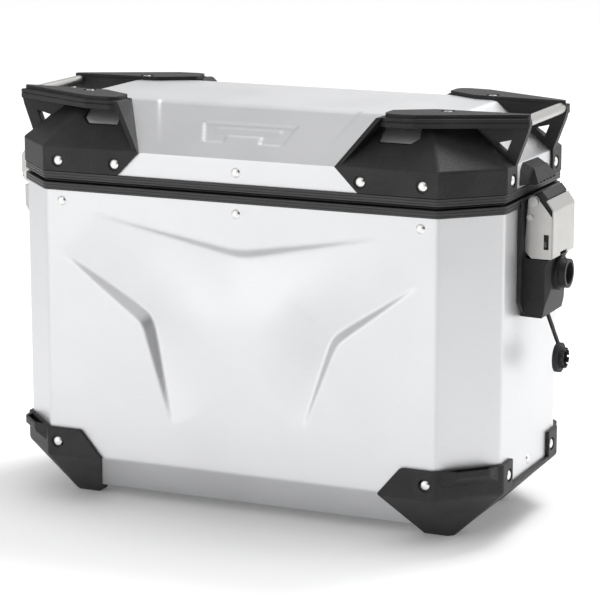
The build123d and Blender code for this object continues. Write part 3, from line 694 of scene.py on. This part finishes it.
def lid_panels(sizes):
    """The pressed lid. Rows climb from its lower edge up the band and the slope, over the top fold and
    in to the middle of the top; the slope is pressed in square to itself."""
    low, bend, top = LID_LOW.z, sizes.lid_bend_z, LID_HIGH.z
    past = sizes.lid_inset_y + 8 * MM
    path = rounded_path([(0, low), (0, bend), (sizes.lid_inset_y, top), (past, top)],
                        (sizes.lid_lower_radius, sizes.lid_upper_radius), 1.8 * MM, 8)
    cap, top_fade = 16, 0.16
    share = np.append(np.ones(len(path)), np.linspace(1, 0, cap + 1)[1:])
    inset = np.append(path[:, 0], np.full(cap, past))
    height = np.append(path[:, 1], np.full(cap, top))
    part = inset / sizes.lid_inset_y
    half_x = (HALF_X - sizes.lid_inset_x * part) * share
    half_y = (HALF_Y - inset) * share
    cut = (sizes.corner_cut + (sizes.lid_corner_top - sizes.corner_cut) * part) * share
    radius = sizes.corner_radius * share
    columns = octagon_columns(front=190, side=14, chamfer=4, rear=40, arc=5)
    x, y = octagon_points(columns, half_x, half_y, cut, radius)
    z = np.broadcast_to(height[:, None], x.shape)
    up = (z - bend) / (top - bend)
    tilt = math.atan2(top - bend, sizes.lid_inset_y)
    middle = (columns[0][None] == 0) & (columns[2][None] == 0) & (up > 0.0) & (share[:, None] > 0.99)
    fade = 1 - smooth_step((part[:, None] - 1.0) / top_fade)
    depth = np.where(middle, lid_press(x, up, sizes) * fade, 0)
    y = y + depth * math.sin(tilt)
    z = z - depth * math.cos(tilt)
    points = np.stack([x + CENTRE_X, y, z], axis=-1)
    faces = grid_faces(*x.shape)
    piece = add_mesh("lid_panels", points, faces, "lid", "case_aluminium", ["lid_shell"], 60)
    sheet_wall(piece, sizes.wall)


# --- edge frames and seal --------------------------------------------------------------
def swept_ring(name, profile, body, slot, stands_for, sizes, sharp=35):
    """A closed profile of outward offset and height, carried round the octagon: each profile point
    makes a row whose octagon is grown by its offset."""
    offset, height = np.array(profile).T
    half_x, half_y = HALF_X + offset, HALF_Y + offset
    cut = sizes.corner_cut + offset * (2 - ROOT_TWO)
    radius = np.maximum(sizes.corner_radius + offset, 1 * MM)
    columns = octagon_columns(front=2, side=2, chamfer=2, rear=2, arc=6)
    x, y = octagon_points(columns, half_x, half_y, cut, radius)
    z = np.broadcast_to(height[:, None], x.shape)
    points = np.stack([x + CENTRE_X, y, z], axis=-1)
    add_mesh(name, points, grid_faces(*x.shape, wrap_rows=True), body, slot, stands_for, sharp)


FRAME_LIP = -9 * MM
FRAME_LEG = -3 * MM
FRAME_SHEET = 2 * MM
FRAME_CHAMFER = 0.6 * MM
GROOVE_DEPTH = 0.5 * MM
GROOVE_MOUTH, GROOVE_FOOT = 0.45 * MM, 0.25 * MM
GROOVE_PLACES = (0.66, 0.30)
SEAL_MIDDLE, SEAL_HALF = -5 * MM, 4 * MM


def frame_profile(rise, cap_z, sizes, proud, tall):
    """An edge frame's section, from its capped edge at cap_z to its free edge, up or down by the sign of
    the rise: a proud face with two fine grooves, a lip inward over the sheet and an inner leg."""
    leg_top = tall + FRAME_SHEET
    points = [(FRAME_LIP, 0), (FRAME_LIP, FRAME_SHEET), (FRAME_LEG, FRAME_SHEET), (FRAME_LEG, leg_top)]
    points += [(-sizes.wall, leg_top), (-sizes.wall, FRAME_SHEET), (0, FRAME_SHEET), (0, tall)]
    points += [(proud - FRAME_CHAMFER, tall), (proud, tall - FRAME_CHAMFER)]
    deep = proud - GROOVE_DEPTH
    for place in GROOVE_PLACES:
        at = tall * place
        points += [(proud, at + GROOVE_MOUTH), (deep, at + GROOVE_FOOT)]
        points += [(deep, at - GROOVE_FOOT), (proud, at - GROOVE_MOUTH)]
    points += [(proud, GROOVE_DEPTH), (deep, 0)]
    return [(offset, cap_z + rise * height) for offset, height in points]


def edge_frames(sizes):
    """The two extruded frames that bind the edges of the body and the lid, and the seal between."""
    proud = BODY_RIM_HIGH.x - BODY_HIGH.x
    tall = 7 * MM
    body = frame_profile(-1, BODY_RIM_HIGH.z, sizes, proud, tall)
    lid = frame_profile(1, LID_RIM_LOW.z, sizes, proud, tall)
    swept_ring("body_edge_frame", body, "case", "black_rim", ["body_rim"], sizes)
    swept_ring("lid_edge_frame", lid, "lid", "black_rim", ["lid_rim"], sizes)
    turn = np.linspace(0, FULL_TURN, 17)[:-1]
    middle_z, half = (SEAL_LOW.z + SEAL_HIGH.z) / 2, (SEAL_HIGH.z - SEAL_LOW.z) / 2
    seal = np.stack([SEAL_MIDDLE + SEAL_HALF * np.cos(turn), middle_z + half * np.sin(turn)], axis=1)
    swept_ring("edge_seal", seal, "lid", "black_rubber", ["lid_seal"], sizes, 80)


# --- operators -------------------------------------------------------------------------
class PieceOperator:
    """What every piece's operator shares."""

    bl_options = {"REGISTER", "UNDO"}

    def execute(self, context):
        """Build this operator's pieces from the scene's sizes."""
        self.build(context.scene)
        return {"FINISHED"}


class CASE_OT_finishes(PieceOperator, bpy.types.Operator):
    """Write the case's finishes"""

    bl_idname = "side_case.finishes"
    bl_label = "Finishes"

    def build(self, scene):
        make_finishes(scene.case_colours)
        for node, piece in frame["nodes"].items():
            piece.data.materials.clear()
            piece.data.materials.append(FINISHES[node_slot(node)])


class CASE_OT_body_panels(PieceOperator, bpy.types.Operator):
    """Press and fold the body"""

    bl_idname = "side_case.body_panels"
    bl_label = "Body panels"

    def build(self, scene):
        body_panels(scene.case_panels)


class CASE_OT_lid_panels(PieceOperator, bpy.types.Operator):
    """Press the lid"""

    bl_idname = "side_case.lid_panels"
    bl_label = "Lid panels"

    def build(self, scene):
        lid_panels(scene.case_panels)


class CASE_OT_edge_frames(PieceOperator, bpy.types.Operator):
    """Sweep the edge frames and the seal"""

    bl_idname = "side_case.edge_frames"
    bl_label = "Edge frames"

    def build(self, scene):
        edge_frames(scene.case_panels)


class CASE_OT_mouldings(PieceOperator, bpy.types.Operator):
    """Round the edges of the moulded guards, sills, housing and catch"""

    bl_idname = "side_case.mouldings"
    bl_label = "Mouldings"

    def build(self, scene):
        for node in sorted(frame["nodes"]):
            if node_slot(node) == "black_plastic":
                rounded_copy(node, f"{node}_moulding", 2.0 * MM, 0.6 * MM)


class CASE_OT_folded_steel(PieceOperator, bpy.types.Operator):
    """Round the edges of the latch, its bracket and the hinge"""

    bl_idname = "side_case.folded_steel"
    bl_label = "Folded steel"

    def build(self, scene):
        for node in sorted(frame["nodes"]):
            if node_slot(node) == "brushed_stainless" and not node.startswith("tie_bar"):
                rounded_copy(node, f"{node}_plate", 1.2 * MM, 0.4 * MM)


class CASE_OT_rivets(PieceOperator, bpy.types.Operator):
    """Dome the heads of the rivets"""

    bl_idname = "side_case.rivets"
    bl_label = "Rivets"

    def build(self, scene):
        for node in sorted(frame["nodes"]):
            if node.endswith("_rivets"):
                rivet_heads(node, scene.case_panels)


class CASE_OT_stage(PieceOperator, bpy.types.Operator):
    """Set the floor, the lights and the camera"""

    bl_idname = "side_case.stage"
    bl_label = "Stage"

    def build(self, scene):
        scene.view_settings.view_transform = "Standard"
        stage_floor(scene.case_colours)
        stage_lights(scene.case_stage)
        stage_camera(scene.case_stage)


def stage_floor(colours):
    """A wide flat floor."""
    half = 30.0
    corners = [(-half, -half, 0), (half, -half, 0), (half, half, 0), (-half, half, 0)]
    mesh = bpy.data.meshes.new("floor")
    mesh.from_pydata(corners, [], [(0, 1, 2, 3)])
    floor = bpy.data.objects.new("floor", mesh)
    bpy.context.scene.collection.objects.link(floor)
    floor.data.materials.append(pale_floor(tuple(colours.floor)))


def soft_light(name, place, target, size, power):
    """A square soft light at a place, turned to a target."""
    lamp = bpy.data.lights.new(name, "AREA")
    lamp.shape = "SQUARE"
    lamp.size = size
    lamp.energy = power
    holder = bpy.data.objects.new(name, lamp)
    holder.location = place
    holder.rotation_euler = (Vector(target) - Vector(place)).to_track_quat("-Z", "Y").to_euler()
    bpy.context.scene.collection.objects.link(holder)


def room_dimming(tree, place, direction, first, last, depth):
    """How much a part of the room is dimmed: from nothing at one cosine from a direction to its full
    depth at another."""
    aim = tree.nodes.new("ShaderNodeVectorMath")
    aim.operation = "DOT_PRODUCT"
    aim.inputs[1].default_value = Vector(direction).normalized()
    tree.links.new(place.outputs["Generated"], aim.inputs[0])
    ramp = tree.nodes.new("ShaderNodeMapRange")
    ramp.interpolation_type = "SMOOTHSTEP"
    for index, value in ((1, first), (2, last), (3, 0.0), (4, depth)):
        ramp.inputs[index].default_value = value
    tree.links.new(aim.outputs["Value"], ramp.inputs[0])
    return ramp.outputs[0]


# Each row: a direction, the cosines where the dimming starts and is full, and its depth.
ROOM_DIMMINGS = (
    ((-1.0, 0.12, 0.05), 0.78, 0.98, 0.62),
    ((0.90, -0.40, 0.12), 0.60, 0.92, 0.92),
    ((-0.85, 0.45, 0.15), 0.80, 0.98, 0.30),
    ((0.38, -0.92, 0.14), 0.86, 0.99, 0.70),
    ((-0.4, -0.1, 0.9), 0.66, 0.96, 0.34),
    ((-0.4, 0.89, 0.21), 0.80, 0.98, 0.26),
)


def stage_lights(values):
    """A white room dimmed at the left, at the right front, in front, overhead and behind, with three
    soft lights. What the camera sees directly is plain white."""
    world = bpy.data.worlds.new("white_room")
    bpy.context.scene.world = world
    world.use_nodes = True
    tree = world.node_tree
    tree.nodes.clear()
    place = tree.nodes.new("ShaderNodeTexCoord")
    strength = None
    for direction, first, last, depth in ROOM_DIMMINGS:
        dimming = room_dimming(tree, place, direction, first, last, depth)
        less = tree.nodes.new("ShaderNodeMath")
        less.operation = "SUBTRACT"
        less.inputs[0].default_value = values.sky
        if strength is not None:
            tree.links.new(strength, less.inputs[0])
        tree.links.new(dimming, less.inputs[1])
        strength = less.outputs[0]
    room = tree.nodes.new("ShaderNodeBackground")
    tree.links.new(strength, room.inputs["Strength"])
    seen = tree.nodes.new("ShaderNodeBackground")
    for shader in (room, seen):
        shader.inputs["Color"].default_value = (1, 1, 1, 1)
    path = tree.nodes.new("ShaderNodeLightPath")
    mix = tree.nodes.new("ShaderNodeMixShader")
    tree.links.new(path.outputs["Is Camera Ray"], mix.inputs[0])
    tree.links.new(room.outputs[0], mix.inputs[1])
    tree.links.new(seen.outputs[0], mix.inputs[2])
    out = tree.nodes.new("ShaderNodeOutputWorld")
    tree.links.new(mix.outputs[0], out.inputs["Surface"])
    soft_light("key_light", (0.6, 1.3, 2.6), (0, 0, 0.1), 0.9, values.key_power)
    soft_light("front_light", (-1.7, -3.2, 0.7), (0, 0, 0.25), 1.5, values.front_power)
    soft_light("side_light", (2.0, 1.6, 1.2), (0, 0, 0.2), 1.4, values.side_power)


def stage_camera(values):
    """The camera, by its place and its turn and tilt in degrees."""
    camera = bpy.data.cameras.new("camera")
    camera.lens = values.lens
    camera.sensor_width = 36.0
    camera.clip_end = 100.0
    holder = bpy.data.objects.new("camera", camera)
    holder.location = (values.camera_x, values.camera_y, values.camera_z)
    holder.rotation_euler = (math.radians(90 - values.pitch), 0, math.radians(values.yaw))
    bpy.context.scene.collection.objects.link(holder)
    bpy.context.scene.camera = holder


STEPS = (CASE_OT_finishes, CASE_OT_body_panels, CASE_OT_lid_panels, CASE_OT_edge_frames,
         CASE_OT_mouldings, CASE_OT_folded_steel, CASE_OT_rivets, CASE_OT_stage)


class CASE_PT_sidebar(bpy.types.Panel):
    """Lists the case's pieces in the 3D view's sidebar"""

    bl_idname = "CASE_PT_sidebar"
    bl_label = "Side case"
    bl_space_type = "VIEW_3D"
    bl_region_type = "UI"
    bl_category = "Side case"

    def draw(self, context):
        for step in STEPS:
            self.layout.operator(step.bl_idname)
        for group in (context.scene.case_panels, context.scene.case_colours, context.scene.case_stage):
            for key in group.__annotations__:
                self.layout.prop(group, key)


GROUPS = {"case_panels": PanelSizes, "case_colours": FinishColours, "case_stage": StageSizes}


def register():
    """Register the classes and hang the property groups on the scene."""
    for kind in (*GROUPS.values(), *STEPS, CASE_PT_sidebar):
        bpy.utils.register_class(kind)
    for key, kind in GROUPS.items():
        setattr(bpy.types.Scene, key, bpy.props.PointerProperty(type=kind))


def unregister():
    """Take the property groups and the classes away again."""
    for key in GROUPS:
        delattr(bpy.types.Scene, key)
    for kind in reversed((*GROUPS.values(), *STEPS, CASE_PT_sidebar)):
        bpy.utils.unregister_class(kind)


def main():
    """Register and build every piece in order."""
    register()
    for step in STEPS:
        group, action = step.bl_idname.split(".")
        getattr(getattr(bpy.ops, group), action)()
    bpy.context.view_layer.update()


if __name__ == "__main__":
    main()
